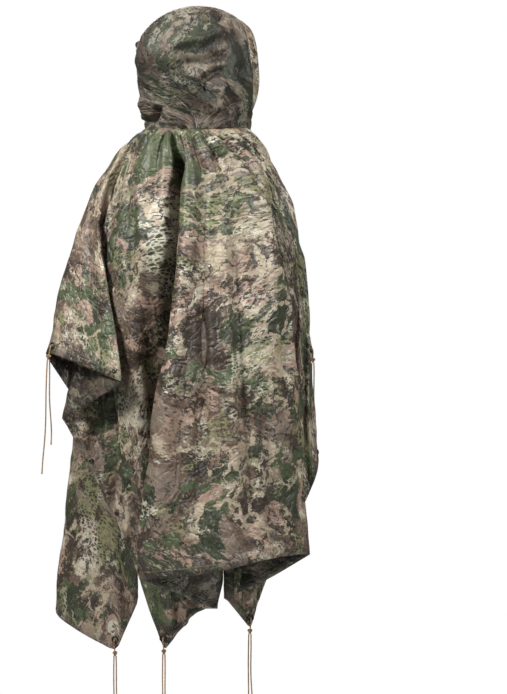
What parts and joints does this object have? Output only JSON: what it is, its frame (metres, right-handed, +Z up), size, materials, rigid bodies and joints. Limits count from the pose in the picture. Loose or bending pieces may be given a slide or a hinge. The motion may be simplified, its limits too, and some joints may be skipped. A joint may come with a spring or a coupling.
{
  "type": "rain poncho",
  "caption": "Hooded camouflage rain poncho, worn shape, open and empty, with side snap fasteners, hem eyelets and short tie cords.",
  "frame": {"origin": "middle of the neck at the height of the shoulders, where the wearer holds the garment up", "axes": "+Z up, +X to the wearer's left, +Y behind the wearer; the garment's front faces -Y"},
  "size_m": [0.6204, 0.5482, 1.7323],
  "materials": {
    "camo_cloth": "coated ripstop, brown and green camouflage with beige, low sheen outside, darker and duller inside",
    "dark_metal": "blackened eyelet, satin",
    "snap_metal": "blackened snap cap, satin",
    "tan_cord": "round braided cord, matt"
  },
  "bodies": {
    "root": {"body_back": "camo_cloth", "body_front": "camo_cloth", "hood_left": "camo_cloth", "hood_right": "camo_cloth", "rim_casing_left": "camo_cloth", "rim_casing_right": "camo_cloth", "eyelet_left": "dark_metal", "eyelet_right": "dark_metal", "eyelet_back_left": "dark_metal", "eyelet_back_right": "dark_metal", "eyelet_front_left": "dark_metal", "eyelet_front_right": "dark_metal", "snap_left_back_1": "snap_metal", "snap_left_back_2": "snap_metal", "snap_left_back_3": "snap_metal", "snap_left_back_4": "snap_metal", "snap_left_back_5": "snap_metal", "snap_left_front_1": "snap_metal", "snap_left_front_2": "snap_metal", "snap_left_front_3": "snap_metal", "snap_left_front_4": "snap_metal", "snap_left_front_5": "snap_metal", "snap_right_back_1": "snap_metal", "snap_right_back_2": "snap_metal", "snap_right_back_3": "snap_metal", "snap_right_back_4": "snap_metal", "snap_right_back_5": "snap_metal", "snap_right_front_1": "snap_metal", "snap_right_front_2": "snap_metal", "snap_right_front_3": "snap_metal", "snap_right_front_4": "snap_metal", "snap_right_front_5": "snap_metal", "cord_loop_left": "tan_cord", "cord_knot_left": "tan_cord", "cord_tail_left_short": "tan_cord", "cord_tail_left_long": "tan_cord", "cord_loop_right": "tan_cord", "cord_knot_right": "tan_cord", "cord_tail_right_short": "tan_cord", "cord_tail_right_long": "tan_cord", "cord_loop_back_left": "tan_cord", "cord_knot_back_left": "tan_cord", "cord_tail_back_left_short": "tan_cord", "cord_tail_back_left_long": "tan_cord", "cord_loop_back_right": "tan_cord", "cord_knot_back_right": "tan_cord", "cord_tail_back_right_short": "tan_cord", "cord_tail_back_right_long": "tan_cord", "cord_loop_front_left": "tan_cord", "cord_knot_front_left": "tan_cord", "cord_tail_front_left_short": "tan_cord", "cord_tail_front_left_long": "tan_cord"}
  },
  "joints": []
}
